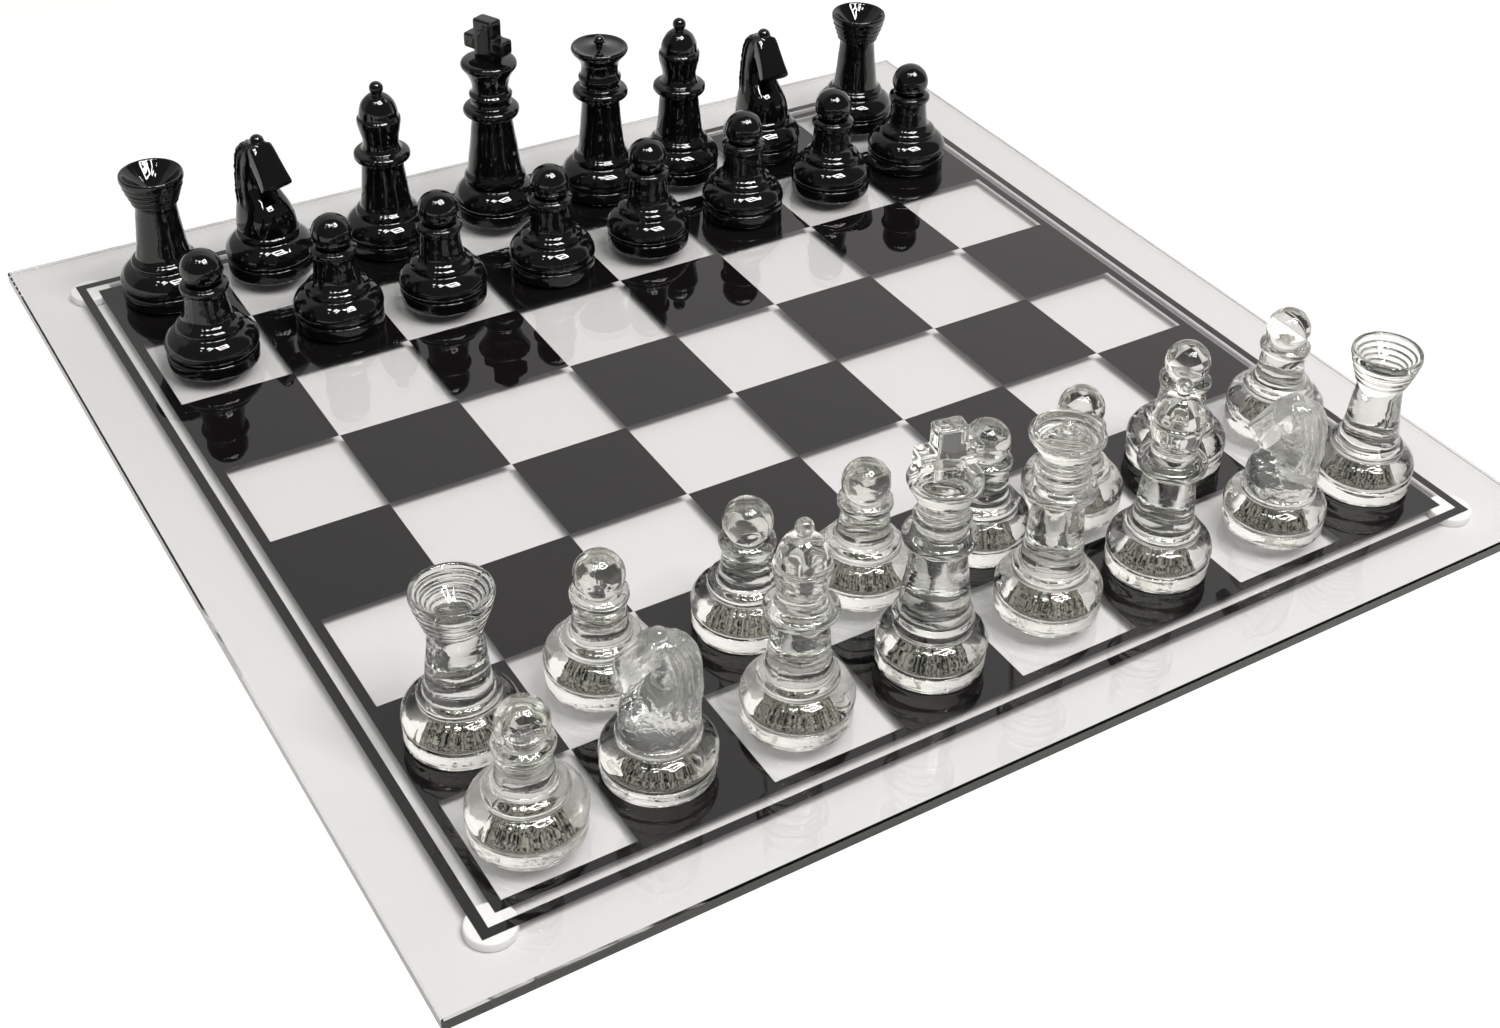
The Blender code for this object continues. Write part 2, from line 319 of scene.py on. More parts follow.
class ChessBoardLook(bpy.types.PropertyGroup):
    """Sizes and colours of the pane's print and feet."""

    ink_colour: FloatVectorProperty(
        name="Ink",
        description="Colour of the print seen through the glass",
        subtype="COLOR",
        size=3,
        default=(0.0045, 0.004, 0.004),
        min=0,
        max=1,
    )
    # The pane's tint is partly the glass's own colour and mostly painted shade. It darkens all that is
    # seen through the pane, since the pane casts no shadow.
    pane_tint_and_shade: FloatVectorProperty(
        name="Pane tint",
        description="Colour that the pane leaves on light that passes",
        subtype="COLOR",
        size=3,
        default=(0.645, 0.637, 0.652),
        min=0,
        max=1,
    )
    foot_colour: FloatVectorProperty(
        name="Feet",
        description="Colour of the round bumpers",
        subtype="COLOR",
        size=3,
        default=(0.86, 0.86, 0.85),
        min=0,
        max=1,
    )
    square_inset: FloatProperty(
        name="Square inset",
        description="How far each black square stops short of its neighbour",
        default=0.12 * MM,
        min=0,
        unit="LENGTH",
    )
    inner_line: FloatProperty(
        name="Inner line",
        description="Width of the line just inside the field's edge",
        default=2.8 * MM,
        min=0,
        unit="LENGTH",
    )
    outer_line: FloatProperty(
        name="Outer line",
        description="Width of the line round the field",
        default=2.7 * MM,
        min=0,
        unit="LENGTH",
    )
    ink_thickness: FloatProperty(
        name="Ink thickness",
        description="Thickness of the fired ink, half of it sunk in the glass",
        default=0.06 * MM,
        min=0,
        unit="LENGTH",
    )


class ChessMenLook(bpy.types.PropertyGroup):
    """Colours and moulding marks of the men."""

    clear_tint: FloatVectorProperty(
        name="Clear glass",
        description="Colour that a clear man leaves on light that passes",
        subtype="COLOR",
        size=3,
        default=(0.98, 0.985, 0.945),
        min=0,
        max=1,
    )
    black_colour: FloatVectorProperty(
        name="Black glass",
        description="Colour of the black men",
        subtype="COLOR",
        size=3,
        default=(0.0015, 0.0015, 0.0018),
        min=0,
        max=1,
    )
    around: IntProperty(
        name="Columns",
        description="Faces round a turned man",
        default=72,
        min=24,
        max=200,
    )
    ripple: FloatProperty(
        name="Ripple",
        description="Height of the slow waves that moulding leaves in the glass",
        default=0.05 * MM,
        min=0,
        unit="LENGTH",
    )
    seam: FloatProperty(
        name="Seam",
        description="Height of the two mould seams",
        default=0.12 * MM,
        min=0,
        unit="LENGTH",
    )


class ChessStageLook(bpy.types.PropertyGroup):
    """Floor, light and camera."""

    floor_colour: FloatVectorProperty(
        name="Floor",
        description="Colour of the table",
        subtype="COLOR",
        size=3,
        default=(0.66, 0.655, 0.65),
        min=0,
        max=1,
    )
    backdrop: FloatProperty(
        name="Backdrop",
        description="Brightness of the studio's far wall",
        default=0.80,
        min=0,
    )
    room: FloatProperty(
        name="Room",
        description="Brightness of the rest of the room",
        default=0.16,
        min=0,
    )
    window: FloatProperty(
        name="Windows",
        description="Brightness of the two soft window lights",
        default=46.0,
        min=0,
    )
    lens: FloatProperty(
        name="Lens",
        description="Focal length on a 36 mm wide sensor, in millimetres",
        default=49.14,
        min=10,
    )


def softened(points, rounds=2):
    """Smooth curve through a row of corner points, by cutting corners.

    Each round puts two points on every stretch, a quarter of the way in from its ends, and drops
    the corners between them; the first and last points stay. The limit is a quadratic spline.
    """
    curve = np.asarray(points, float)
    for _ in range(rounds):
        before, after = curve[:-1], curve[1:]
        cut = np.empty((2 * len(before), curve.shape[1]))
        cut[0::2] = 0.75 * before + 0.25 * after
        cut[1::2] = 0.25 * before + 0.75 * after
        curve = np.vstack([curve[:1], cut, curve[-1:]])
    return curve


def ball_outline(ball, start=-60.0, steps=14):
    """Outline of a ball: radius r cos(a) and height z + r sin(a), from angle start up to the top."""
    height, radius = ball
    angle = np.radians(np.linspace(start, 90.0, steps))
    points = np.stack([radius * np.cos(angle), height + radius * np.sin(angle)], axis=1)
    points[-1, 0] = 0.0
    return points


def columns(around, seam_width=0.6):
    """Angles of the columns round a turned man, with two narrow ones on each side of a seam."""
    even = np.arange(around) * TAU / around
    narrow = math.radians(seam_width * 2)
    close = np.concatenate([[-narrow, narrow], [math.pi - narrow, math.pi + narrow]])
    return np.sort(np.mod(np.concatenate([even, close]), TAU))


def turned(outline, look, phase):
    """Rings of a turned man: the outline carried round the Z axis.

    The radius gains slow waves, sums of sines of the angle and the height, and a narrow ridge at
    the two seams. Near the axis both fade out. The underside gains shallow pits, a product of
    sines of x and y, as a ground face has.
    """
    outline = np.asarray(outline, float) * MM
    angle = columns(look.around)[None, :]
    radius = outline[:, :1]
    height = outline[:, 1:]
    z = height / MM
    wave = np.sin(3 * angle + 0.31 * z + phase) + 0.6 * np.sin(5 * angle - 0.73 * z + 2 * phase)
    wave = wave + 0.5 * np.sin(2 * angle + 1.9 * z + 3 * phase)
    ridge = np.exp(-((np.sin(angle) / 0.03) ** 2))
    hold = np.clip(radius / (4 * MM), 0, 1) ** 2 * np.clip(z / 1.5, 0, 1)
    grown = radius + hold * (look.ripple * wave + look.seam * ridge)
    x = grown * np.cos(angle)
    y = grown * np.sin(angle)
    inside = np.clip((12.4 * MM - radius) / (2 * MM), 0, 1) * (z < 1)
    pits = np.sin(x / MM * 2.1 + phase) * np.sin(y / MM * 2.4) * np.sin((x + y) / MM * 1.3)
    level = height + 0.12 * MM * inside * pits
    return np.stack([x, y, level + 0 * angle], axis=-1)


def closed(rings):
    """Points and faces of a closed skin over a stack of rings, with a pole at either end.

    Ring after ring runs anticlockwise seen from above and upwards along the outside, so every
    face points outwards.
    """
    count, around = rings.shape[:2]
    poles = rings[[0, -1]].mean(axis=1)
    points = np.vstack([poles[:1], rings.reshape(-1, 3), poles[1:]])
    here = 1 + np.arange(count - 1)[:, None] * around + np.arange(around)[None, :]
    beside = 1 + np.arange(count - 1)[:, None] * around + (np.arange(around)[None, :] + 1) % around
    walls = np.stack([here, beside, beside + around, here + around], axis=-1).reshape(-1, 4)
    first, after = here[0], beside[0]
    last = (count - 1) * around
    low = np.stack([0 * first, after, first], axis=-1)
    high = np.stack([first + last, after + last, 0 * first + len(points) - 1], axis=-1)
    return points, walls.tolist() + low.tolist() + high.tolist()


def mesh_from(name, points, faces, sharp=60.0):
    """A smooth-shaded mesh from points and faces, kept sharp at edges beyond an angle."""
    mesh = bpy.data.meshes.new(name)
    mesh.from_pydata(np.asarray(points).tolist(), [], faces)
    mesh.update()
    mesh.shade_smooth()
    mesh.set_sharp_from_angle(angle=math.radians(sharp))
    return mesh


def add_object(name, mesh, material=None):
    """Link a mesh as an object at the origin, with its material."""
    obj = bpy.data.objects.new(name, mesh)
    bpy.context.scene.collection.objects.link(obj)
    if material is not None:
        mesh.materials.append(material)
    return obj


def placed(points, node, turn=0.0):
    """Size points to the CAD man, turn them and stand them on the pane in its place.

    The width follows the army's mould size, and the height follows the CAD man's own height.
    """
    low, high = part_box(node)
    points = np.asarray(points)
    width = ARMY_SIZE[node.split("_")[0]]
    points = points * np.array([width, width, (high.z - low.z) / points[:, 2].max()])
    c, s = math.cos(math.radians(turn)), math.sin(math.radians(turn))
    spin = np.array([[c, s, 0.0], [-s, c, 0.0], [0.0, 0.0, 1.0]])
    place = np.array([(low.x + high.x) / 2, (low.y + high.y) / 2, STAND_Z])
    return points @ spin + place


def mark_worked_faces(mesh, axis, frosted):
    """Give the second material to a man's ground underside and the third to a frosted horse."""
    count = len(mesh.polygons)
    centre, normal = np.empty(count * 3), np.empty(count * 3)
    mesh.polygons.foreach_get("center", centre)
    mesh.polygons.foreach_get("normal", normal)
    centre, normal = centre.reshape(-1, 3), normal.reshape(-1, 3)
    distance = np.hypot(centre[:, 0] - axis[0], centre[:, 1] - axis[1])
    under = (centre[:, 2] < STAND_Z + UNDERSIDE_REACH * MM) & (normal[:, 2] < -0.8)
    ground = under & (distance < GROUND_RADIUS * MM)
    head = (centre[:, 2] > STAND_Z + FROST_HEIGHT * MM) & frosted
    mesh.polygons.foreach_set("material_index", (ground + 2 * head).astype(np.int32))


def add_man(node, points, faces, turn, sharp=60.0):
    """One man as an object in place of its CAD node, riding on the node's own body."""
    army = node.split("_")[0]
    mesh = mesh_from(f"{node}_glass", placed(points, node, turn), faces, sharp)
    man = add_object(f"{node}_glass", mesh)
    for material in glass_of(army):
        mesh.materials.append(material)
    if army == "clear":
        low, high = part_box(node)
        axis = (low.x + high.x) / 2, (low.y + high.y) / 2
        mark_worked_faces(mesh, axis, node in KNIGHTS)
    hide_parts(node)
    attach(man, node)
    return man


def add_turned_men(nodes, outline):
    """Men that are wholly turned, each with its own waves and seam direction."""
    look = bpy.context.scene.chess_men
    for index, node in enumerate(nodes):
        turn = 47.0 * index + 20.0
        points, faces = closed(turned(outline, look, 1.7 * index))
        add_man(node, points, faces, turn)


def evaluated(obj):
    """Points and faces of an object with its modifiers applied."""
    result = obj.evaluated_get(bpy.context.evaluated_depsgraph_get())
    mesh = result.to_mesh()
    points = np.empty(len(mesh.vertices) * 3)
    mesh.vertices.foreach_get("co", points)
    faces = [list(face.vertices) for face in mesh.polygons]
    result.to_mesh_clear()
    return points.reshape(-1, 3), faces


def united(base, *tools):
    """Points and faces of a mesh joined with others by exact Boolean unions."""
    body = add_object("union_base", mesh_from("union_base", *base))
    helpers = []
    for index, tool in enumerate(tools):
        name = f"union_tool_{index}"
        helper = add_object(name, mesh_from(name, *tool))
        helpers.append(helper)
        union = body.modifiers.new(name, "BOOLEAN")
        union.operation = "UNION"
        union.solver = "EXACT"
        union.object = helper
    result = evaluated(body)
    discard(body, *helpers)
    return result


def discard(*objects):
    """Remove helper objects and their meshes."""
    for obj in objects:
        mesh = obj.data
        bpy.data.objects.remove(obj, do_unlink=True)
        bpy.data.meshes.remove(mesh)


def blended(voxel, *shapes):
    """Several closed shapes melted into one skin: a voxel remesh, then a light smoothing."""
    points = []
    faces = []
    for shape_points, shape_faces in shapes:
        start = sum(len(p) for p in points)
        points.append(np.asarray(shape_points))
        faces += [[start + v for v in face] for face in shape_faces]
    body = add_object("blend", mesh_from("blend", np.vstack(points), faces))
    remesh = body.modifiers.new("remesh", "REMESH")
    remesh.mode = "VOXEL"
    remesh.voxel_size = voxel
    smooth = body.modifiers.new("smooth", "SMOOTH")
    smooth.factor = 0.5
    smooth.iterations = 3
    result = evaluated(body)
    discard(body)
    return result


def new_material(name):
    """An empty node material and its Principled shader."""
    material = bpy.data.materials.new(name)
    material.use_nodes = True
    return material, material.node_tree.nodes["Principled BSDF"]


def add_noise(material, scale, detail=2.0, distortion=0.0):
    """Noise on the object's own coordinates."""
    nodes, links = material.node_tree.nodes, material.node_tree.links
    place = nodes.new("ShaderNodeTexCoord")
    noise = nodes.new("ShaderNodeTexNoise")
    noise.inputs["Scale"].default_value = scale
    noise.inputs["Detail"].default_value = detail
    noise.inputs["Distortion"].default_value = distortion
    links.new(place.outputs["Object"], noise.inputs["Vector"])
    return noise


def add_bump(material, shader, noise, distance, strength=1.0):
    """Let a noise raise the surface by a distance in metres."""
    nodes, links = material.node_tree.nodes, material.node_tree.links
    bump = nodes.new("ShaderNodeBump")
    bump.inputs["Strength"].default_value = strength
    bump.inputs["Distance"].default_value = distance
    links.new(noise.outputs["Fac"], bump.inputs["Height"])
    links.new(bump.outputs["Normal"], shader.inputs["Normal"])


def add_tint(material, shader, noise, dark, light, span=(0.0, 1.0)):
    """Vary the base colour between two tones as a noise runs over a span of its values."""
    nodes, links = material.node_tree.nodes, material.node_tree.links
    mix = nodes.new("ShaderNodeMix")
    mix.data_type = "RGBA"
    mix.inputs["A"].default_value = (*dark, 1.0)
    mix.inputs["B"].default_value = (*light, 1.0)
    spread = nodes.new("ShaderNodeMapRange")
    spread.inputs["From Min"].default_value, spread.inputs["From Max"].default_value = span
    links.new(noise.outputs["Fac"], spread.inputs["Value"])
    links.new(spread.outputs["Result"], mix.inputs["Factor"])
    links.new(mix.outputs["Result"], shader.inputs["Base Color"])


def clear_glass():
    """Moulded clear glass: faint green-grey tint and shallow waves left by the mould."""
    material, shader = new_material("clear_moulded_glass")
    look = bpy.context.scene.chess_men
    tint = np.array(look.clear_tint)
    shader.inputs["Roughness"].default_value = 0.0
    shader.inputs["IOR"].default_value = 1.5
    shader.inputs["Transmission Weight"].default_value = 1.0
    add_tint(material, shader, add_noise(material, 90.0), tint * 0.97, tint)
    add_bump(material, shader, add_noise(material, 300.0, 2.0, 0.8), 0.07 * MM)
    return material


def black_glass():
    """Moulded black glass: nearly no colour of its own, a hard gloss and shallow waves."""
    material, shader = new_material("black_moulded_glass")
    look = bpy.context.scene.chess_men
    colour = np.array(look.black_colour)
    shader.inputs["Roughness"].default_value = 0.02
    shader.inputs["IOR"].default_value = 1.5
    add_tint(material, shader, add_noise(material, 120.0), colour, colour * 2)
    add_bump(material, shader, add_noise(material, 330.0, 1.0, 0.6), 0.03 * MM)
    return material


def ground_shade_and_glints():
    """Ground underside of a clear man, made opaque. Its dull grey is painted shade for the dim light
    that ground glass lets through from the shaded table, and its light specks are painted glints off
    the grinding.
    """
    material, shader = new_material("ground_underside_shade_and_glints")
    shader.inputs["Roughness"].default_value = 0.8
    shader.inputs["Specular IOR Level"].default_value = 0.1
    painted_glints = add_noise(material, 2800.0, 2.0, 0.4)
    # Black to grey speckle: painted shade with painted glints, not the glass's own colour.
    add_tint(material, shader, painted_glints, (0.0, 0.0, 0.0), (0.34, 0.33, 0.295), (0.38, 0.66))
    return material


def frosted_glass():
    """Frosted skin of a clear knight's horse: milky glass with a coarse, wavy surface."""
    material, shader = new_material("frosted_glass")
    tint = np.array(bpy.context.scene.chess_men.clear_tint)
    shader.inputs["Roughness"].default_value = 0.05
    shader.inputs["IOR"].default_value = 1.5
    shader.inputs["Transmission Weight"].default_value = 0.93
    add_tint(material, shader, add_noise(material, 200.0), tint, (1.0, 1.0, 0.99))
    add_bump(material, shader, add_noise(material, 350.0, 2.0, 0.8), 0.3 * MM)
    return material


def glass_of(army):
    """The army's glass, with its ground and frosted kinds, made once and shared by its men."""
    skin = f"{army}_moulded_glass"
    if army == "black":
        return [bpy.data.materials.get(skin) or black_glass()]
    under = bpy.data.materials.get("ground_underside_shade_and_glints") or ground_shade_and_glints()
    frost = bpy.data.materials.get("frosted_glass") or frosted_glass()
    return [bpy.data.materials.get(skin) or clear_glass(), under, frost]


def pane_glass():
    """Float glass: flat and clean. Its grey tint is partly the glass's own colour and mostly painted
    shade for the light the pane keeps off the table.
    """
    material, shader = new_material("pane_float_glass")
    tint = np.array(bpy.context.scene.chess_board.pane_tint_and_shade)
    shader.inputs["Roughness"].default_value = 0.0
    shader.inputs["IOR"].default_value = 1.5
    shader.inputs["Transmission Weight"].default_value = 1.0
    add_tint(material, shader, add_noise(material, 8.0), tint * 0.995, tint)
    return material


def print_ink():
    """Fired black ink in contact with the glass: no shine of its own, a faint mottle."""
    material, shader = new_material("fired_black_ink")
    ink = np.array(bpy.context.scene.chess_board.ink_colour)
    shader.inputs["Roughness"].default_value = 0.6
    shader.inputs["Specular IOR Level"].default_value = 0.0
    add_tint(material, shader, add_noise(material, 60.0, 1.0), ink * 0.92, ink * 1.1)
    return material


def foot_plastic():
    """Soft white bumper plastic with a satin skin."""
    material, shader = new_material("bumper_plastic")
    colour = np.array(bpy.context.scene.chess_board.foot_colour)
    shader.inputs["Roughness"].default_value = 0.4
    add_tint(material, shader, add_noise(material, 700.0), colour * 0.96, colour)
    add_bump(material, shader, add_noise(material, 2500.0), 0.03 * MM)
    return material


def plates(rectangles, low, high):
    """Points and faces of flat plates: rows of left, right, front and back, and two levels."""
    left, right, front, back = np.asarray(rectangles, float).T
    x = np.stack([left, right, right, left] * 2, axis=1)
    y = np.stack([front, front, back, back] * 2, axis=1)
    z = np.broadcast_to([low] * 4 + [high] * 4, x.shape)
    points = np.stack([x, y, z], axis=-1).reshape(-1, 3)
    box = [(0, 3, 2, 1), (4, 5, 6, 7), (0, 1, 5, 4), (1, 2, 6, 5), (2, 3, 7, 6), (3, 0, 4, 7)]
    faces = np.array(box)[None] + 8 * np.arange(len(left))[:, None, None]
    return points, faces.reshape(-1, 4).tolist()


def line_square(outer, width, low, high):
    """Points and faces of a flat square line: four corners carried through its section."""
    corners = np.array([[-1, -1], [1, -1], [1, 1], [-1, 1]])
    reach = np.array([outer, outer, outer - width, outer - width])
    level = np.array([low, high, high, low])
    flat = corners[:, None, :] * reach[None, :, None]
    rise = np.broadcast_to(level[None, :, None], (4, 4, 1))
    points = np.concatenate([flat, rise], axis=-1).reshape(-1, 3)
    here = np.arange(4)[:, None] * 4 + np.arange(4)[None, :]
    side = np.roll(here, -1, axis=0)
    faces = np.stack([here, side, np.roll(side, -1, axis=1), np.roll(here, -1, axis=1)], axis=-1)
    return points, faces.reshape(-1, 4).tolist()


def merged(*shapes):
    """Points and faces of several shapes side by side in one mesh."""
    points = np.vstack([shape[0] for shape in shapes])
    starts = np.cumsum([0] + [len(shape[0]) for shape in shapes[:-1]])
    faces = [[start + v for v in face] for start, shape in zip(starts, shapes) for face in shape[1]]
    return points, faces


class CHESS_OT_pane(bpy.types.Operator):
    """Give the pane its float glass; its shape is the CAD node's own."""

    bl_idname = "chess.pane"
    bl_label = "Glass pane"

    def execute(self, context):
        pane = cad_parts["glass_board"]
        pane.data.materials.clear()
        pane.data.materials.append(pane_glass())
        # The pane casts no shadow and is skipped by diffuse light; its grey tint is painted shade in
        # place of that shadow.
        pane.visible_shadow = False
        pane.visible_diffuse = False
        return {"FINISHED"}


class CHESS_OT_print(bpy.types.Operator):
    """Print the black squares and the two border lines on the pane's underside."""

    bl_idname = "chess.print"
    bl_label = "Chequered print"

    def execute(self, context):
        look = context.scene.chess_board
        low = PANE_LOW.z - look.ink_thickness / 2
        high = PANE_LOW.z + look.ink_thickness / 2
        ink = print_ink()
        half = FIELD / 2
        file, rank = np.meshgrid(np.arange(SQUARES), np.arange(SQUARES))
        dark = (file + rank) % 2 == 1
        left = file[dark] * SQUARE - half + look.square_inset
        front = rank[dark] * SQUARE - half + look.square_inset
        size = SQUARE - 2 * look.square_inset
        rectangles = np.stack([left, left + size, front, front + size], axis=1)
        edge = half - look.inner_line
        rectangles = np.clip(rectangles, -edge - look.square_inset, edge + look.square_inset)
        inner = line_square(half, look.inner_line, low, high)
        printed = merged(plates(rectangles, low, high), inner)
        squares = add_object("printed_squares", mesh_from("printed_squares", *printed), ink)
        outer_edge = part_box("outer_border_print")[1].x
        outer = line_square(outer_edge, look.outer_line, low, high)
        border = add_object("printed_border", mesh_from("printed_border", *outer), ink)
        for piece, node in ((squares, "checker_print"), (border, "outer_border_print")):
            piece.data.shade_flat()
            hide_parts(node)
            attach(piece, "board")
        return {"FINISHED"}


class CHESS_OT_feet(bpy.types.Operator):
    """Turn the four round bumpers, a little domed and reaching up to the glass."""

    bl_idname = "chess.feet"
    bl_label = "Bumper feet"

    def execute(self, context):
        plastic = foot_plastic()
        for node in [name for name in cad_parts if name.startswith("foot_")]:
            low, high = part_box(node)
            r = (high.x - low.x) / 2 / MM
            h = (PANE_LOW.z - low.z) / MM - 0.04
            outline = [(0, 0), (r - 0.9, 0), (r - 0.2, 0.1), (r, 0.7), (r, h - 0.7), (r - 0.2, h - 0.1)]
            outline = softened(outline + [(r - 0.8, h), (0, h)]) * MM
            angle = np.arange(48)[None, :] * TAU / 48
            x = outline[:, :1] * np.cos(angle) + (low.x + high.x) / 2
            y = outline[:, :1] * np.sin(angle) + (low.y + high.y) / 2
            rings = np.stack([x, y, outline[:, 1:] + low.z + 0 * angle], axis=-1)
            name = f"bumper_{node[5:]}"
            bumper = add_object(name, mesh_from(name, *closed(rings)), plastic)
            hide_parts(node)
            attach(bumper, "board")
        return {"FINISHED"}


class CHESS_OT_pawns(bpy.types.Operator):
    """Turn the sixteen pawns: bell foot, neck, collar and ball."""

    bl_idname = "chess.pawns"
    bl_label = "Pawns"

    def execute(self, context):
        outline = np.vstack([softened(FOOT + PAWN), ball_outline(PAWN_BALL, -48.0, 22)])
        add_turned_men(PAWNS, outline)
        return {"FINISHED"}


class CHESS_OT_rooks(bpy.types.Operator):
    """Turn the four rooks: column, stacked rings and a funnel sunk in the crown."""

    bl_idname = "chess.rooks"
    bl_label = "Rooks"

    def execute(self, context):
        step = np.arange(ROOK_RINGS)[:, None, None] * np.array(ROOK_RING_STEP)
        rings = (np.array(ROOK_RING)[None] + step + np.array(ROOK_RING_FOOT)).reshape(-1, 2)
        add_turned_men(ROOKS, softened([*FOOT, *ROOK, *rings.tolist(), *ROOK_RIM]))
        return {"FINISHED"}


class CHESS_OT_bishops(bpy.types.Operator):
    """Turn the four bishops: column, collar, ridged mitre and small ball."""

    bl_idname = "chess.bishops"
    bl_label = "Bishops"

    def execute(self, context):
        outline = np.vstack([softened(FOOT + BISHOP), ball_outline(BISHOP_BALL, -45.0)])
        add_turned_men(BISHOPS, outline)
        return {"FINISHED"}


class CHESS_OT_queens(bpy.types.Operator):
    """Turn the two queens: column, collar, ring and open dish with a small ball."""

    bl_idname = "chess.queens"
    bl_label = "Queens"

    def execute(self, context):
        outline = np.vstack([softened(FOOT + QUEEN), ball_outline(QUEEN_BALL, -40.0)])
        add_turned_men(QUEENS, outline)
        return {"FINISHED"}


def slab(half, low, high, bevel):
    """Rings of an upright bar with rounded edges: a rounded rectangle, narrowed at both ends."""
    angle = np.arange(32) * TAU / 32 + TAU / 64
    power = 0.22
    c = np.sign(np.cos(angle)) * np.abs(np.cos(angle)) ** power
    s = np.sign(np.sin(angle)) * np.abs(np.sin(angle)) ** power
    level = np.array([low, low + bevel * 0.3, low + bevel, high - bevel, high - bevel * 0.3, high])
    inset = np.array([bevel, bevel * 0.3, 0.0, 0.0, bevel * 0.3, bevel])[:, None]
    x = (half[0] - inset) * c[None, :]
    y = (half[1] - inset) * s[None, :]
    z = level[:, None] + 0 * angle[None, :]
    return np.stack([x, y, z], axis=-1)


def king_cross():
    """Points and faces of the cross's post and of its arms, as two bars with rounded edges."""
    post_half = (CROSS_POST_HALF_WIDTH, CROSS_HALF_THICKNESS)
    post = slab(post_half, CROSS_ROOT, CROSS_TOP, CROSS_BEVEL)
    arm_half = (CROSS_ARM_HALF_DEPTH, CROSS_HALF_THICKNESS - 0.02)
    arms = slab(arm_half, -CROSS_ARM_HALF_SPAN, CROSS_ARM_HALF_SPAN, CROSS_BEVEL)
    arms = arms[..., [2, 1, 0]] * np.array([1.0, 1.0, -1.0]) + np.array([0, 0, CROSS_ARM_HEIGHT])
    return [closed(part * MM) for part in (post, arms)]


class CHESS_OT_kings(bpy.types.Operator):
    """Turn the two kings and mould the thick cross onto each."""

    bl_idname = "chess.kings"
    bl_label = "Kings"

    def execute(self, context):
        look = context.scene.chess_men
        cross = blended(0.3 * MM, *king_cross())
        outline = softened(FOOT + KING)
        for index, node in enumerate(KINGS):
            body = closed(turned(outline, look, 2.9 * index))
            points, faces = united(body, cross)
            add_man(node, points, faces, TURNS[node], 45.0)
        return {"FINISHED"}


def ball_rings(ball):
    """Rings of a whole ball on the axis."""
    outline = ball_outline(ball, -90.0, 24) * MM
    outline[0, 0] = 0.0
    angle = np.arange(36)[None, :] * TAU / 36
    x = outline[:, :1] * np.cos(angle)
    y = outline[:, :1] * np.sin(angle)
    return np.stack([x, y, outline[:, 1:] + 0 * angle], axis=-1)


def superellipse(angle, power):
    """Cosine and sine of an angle, pushed outwards towards a rounded square."""
    c = np.sign(np.cos(angle)) * np.abs(np.cos(angle)) ** power
    s = np.sign(np.sin(angle)) * np.abs(np.sin(angle)) ** power
    return c, s


def knight_neck():
    """Points and faces of the neck: level rounded slices with a grooved mane down the back.

    The grooves are a cosine of the angle round the slice, deepest at the back and fading out
    towards the cheeks and below the mane's root.
    """
    rows = softened(KNIGHT_NECK, 3)
    angle = np.arange(160)[None, :] * TAU / 160
    c, s = superellipse(angle, 0.86)
    z, back, front, width = (rows[:, k : k + 1] for k in range(4))
    middle = (front + back) / 2
    behind = np.clip(-np.cos(angle) * 1.6 + 0.35, 0, 1)
    above = np.clip((z - MANE_ROOT) / 3.0, 0, 1) * np.clip((46.0 - z) / 1.5, 0, 1)
    groove = MANE_DEPTH * behind * above * (np.cos(MANE_GROOVES * angle) - 0.3)
    reach = (front - back) / 2
    x = middle + (reach + groove) * c
    y = (width + groove) * s
    return closed(np.stack([x, y, z + 0 * angle], axis=-1) * MM)


def knight_head():
    """Points and faces of the head: rounded oblong slices square to the line of the face."""
    rows = softened(KNIGHT_HEAD, 2)
    angle = np.arange(96)[None, :] * TAU / 96
    c, s = superellipse(angle, 0.36)
    poll, muzzle = np.array(KNIGHT_POLL), np.array(KNIGHT_MUZZLE)
    along = muzzle - poll
    across = np.array([-along[1], along[0]]) / np.hypot(*along)
    share, depth, width = (rows[:, k : k + 1] for k in range(3))
    x = poll[0] + share * along[0] + depth * c * across[0]
    z = poll[1] + share * along[1] + depth * c * across[1]
    y = width * s
    return closed(np.stack([x, -y, z], axis=-1)[::-1] * MM)


class CHESS_OT_knights(bpy.types.Operator):
    """Mould the four knights: turned foot, grooved neck, wedge-shaped head and small ball."""

    bl_idname = "chess.knights"
    bl_label = "Knights"

    def execute(self, context):
        look = context.scene.chess_men
        ball = closed(ball_rings(KNIGHT_BALL))
        horse = blended(0.35 * MM, knight_neck(), knight_head(), ball)
        foot = closed(turned(softened(FOOT + KNIGHT_STUMP), look, 0.8))
        points, faces = united(foot, horse)
        for node in KNIGHTS:
            add_man(node, points, faces, TURNS[node], 45.0)
        return {"FINISHED"}


def direction(azimuth, elevation):
    """Unit vector: azimuth from +Y towards +X, elevation up from the table, in degrees."""
    a, e = math.radians(azimuth), math.radians(elevation)
    return np.array([math.cos(e) * math.sin(a), math.cos(e) * math.cos(a), math.sin(e)])


def add_floor(look):
    """A wide pale table top."""
    size = 6.0
    points = np.array([[-size, -size, 0], [size, -size, 0], [size, size, 0], [-size, size, 0]])
    material, shader = new_material("pale_table")
    colour = np.array(look.floor_colour)
    shader.inputs["Roughness"].default_value = 0.75
    shader.inputs["Specular IOR Level"].default_value = 0.2
    add_tint(material, shader, add_noise(material, 260.0, 4.0), colour * 0.985, colour)
    floor = add_object("table_top", mesh_from("table_top", points, [[0, 1, 2, 3]]), material)


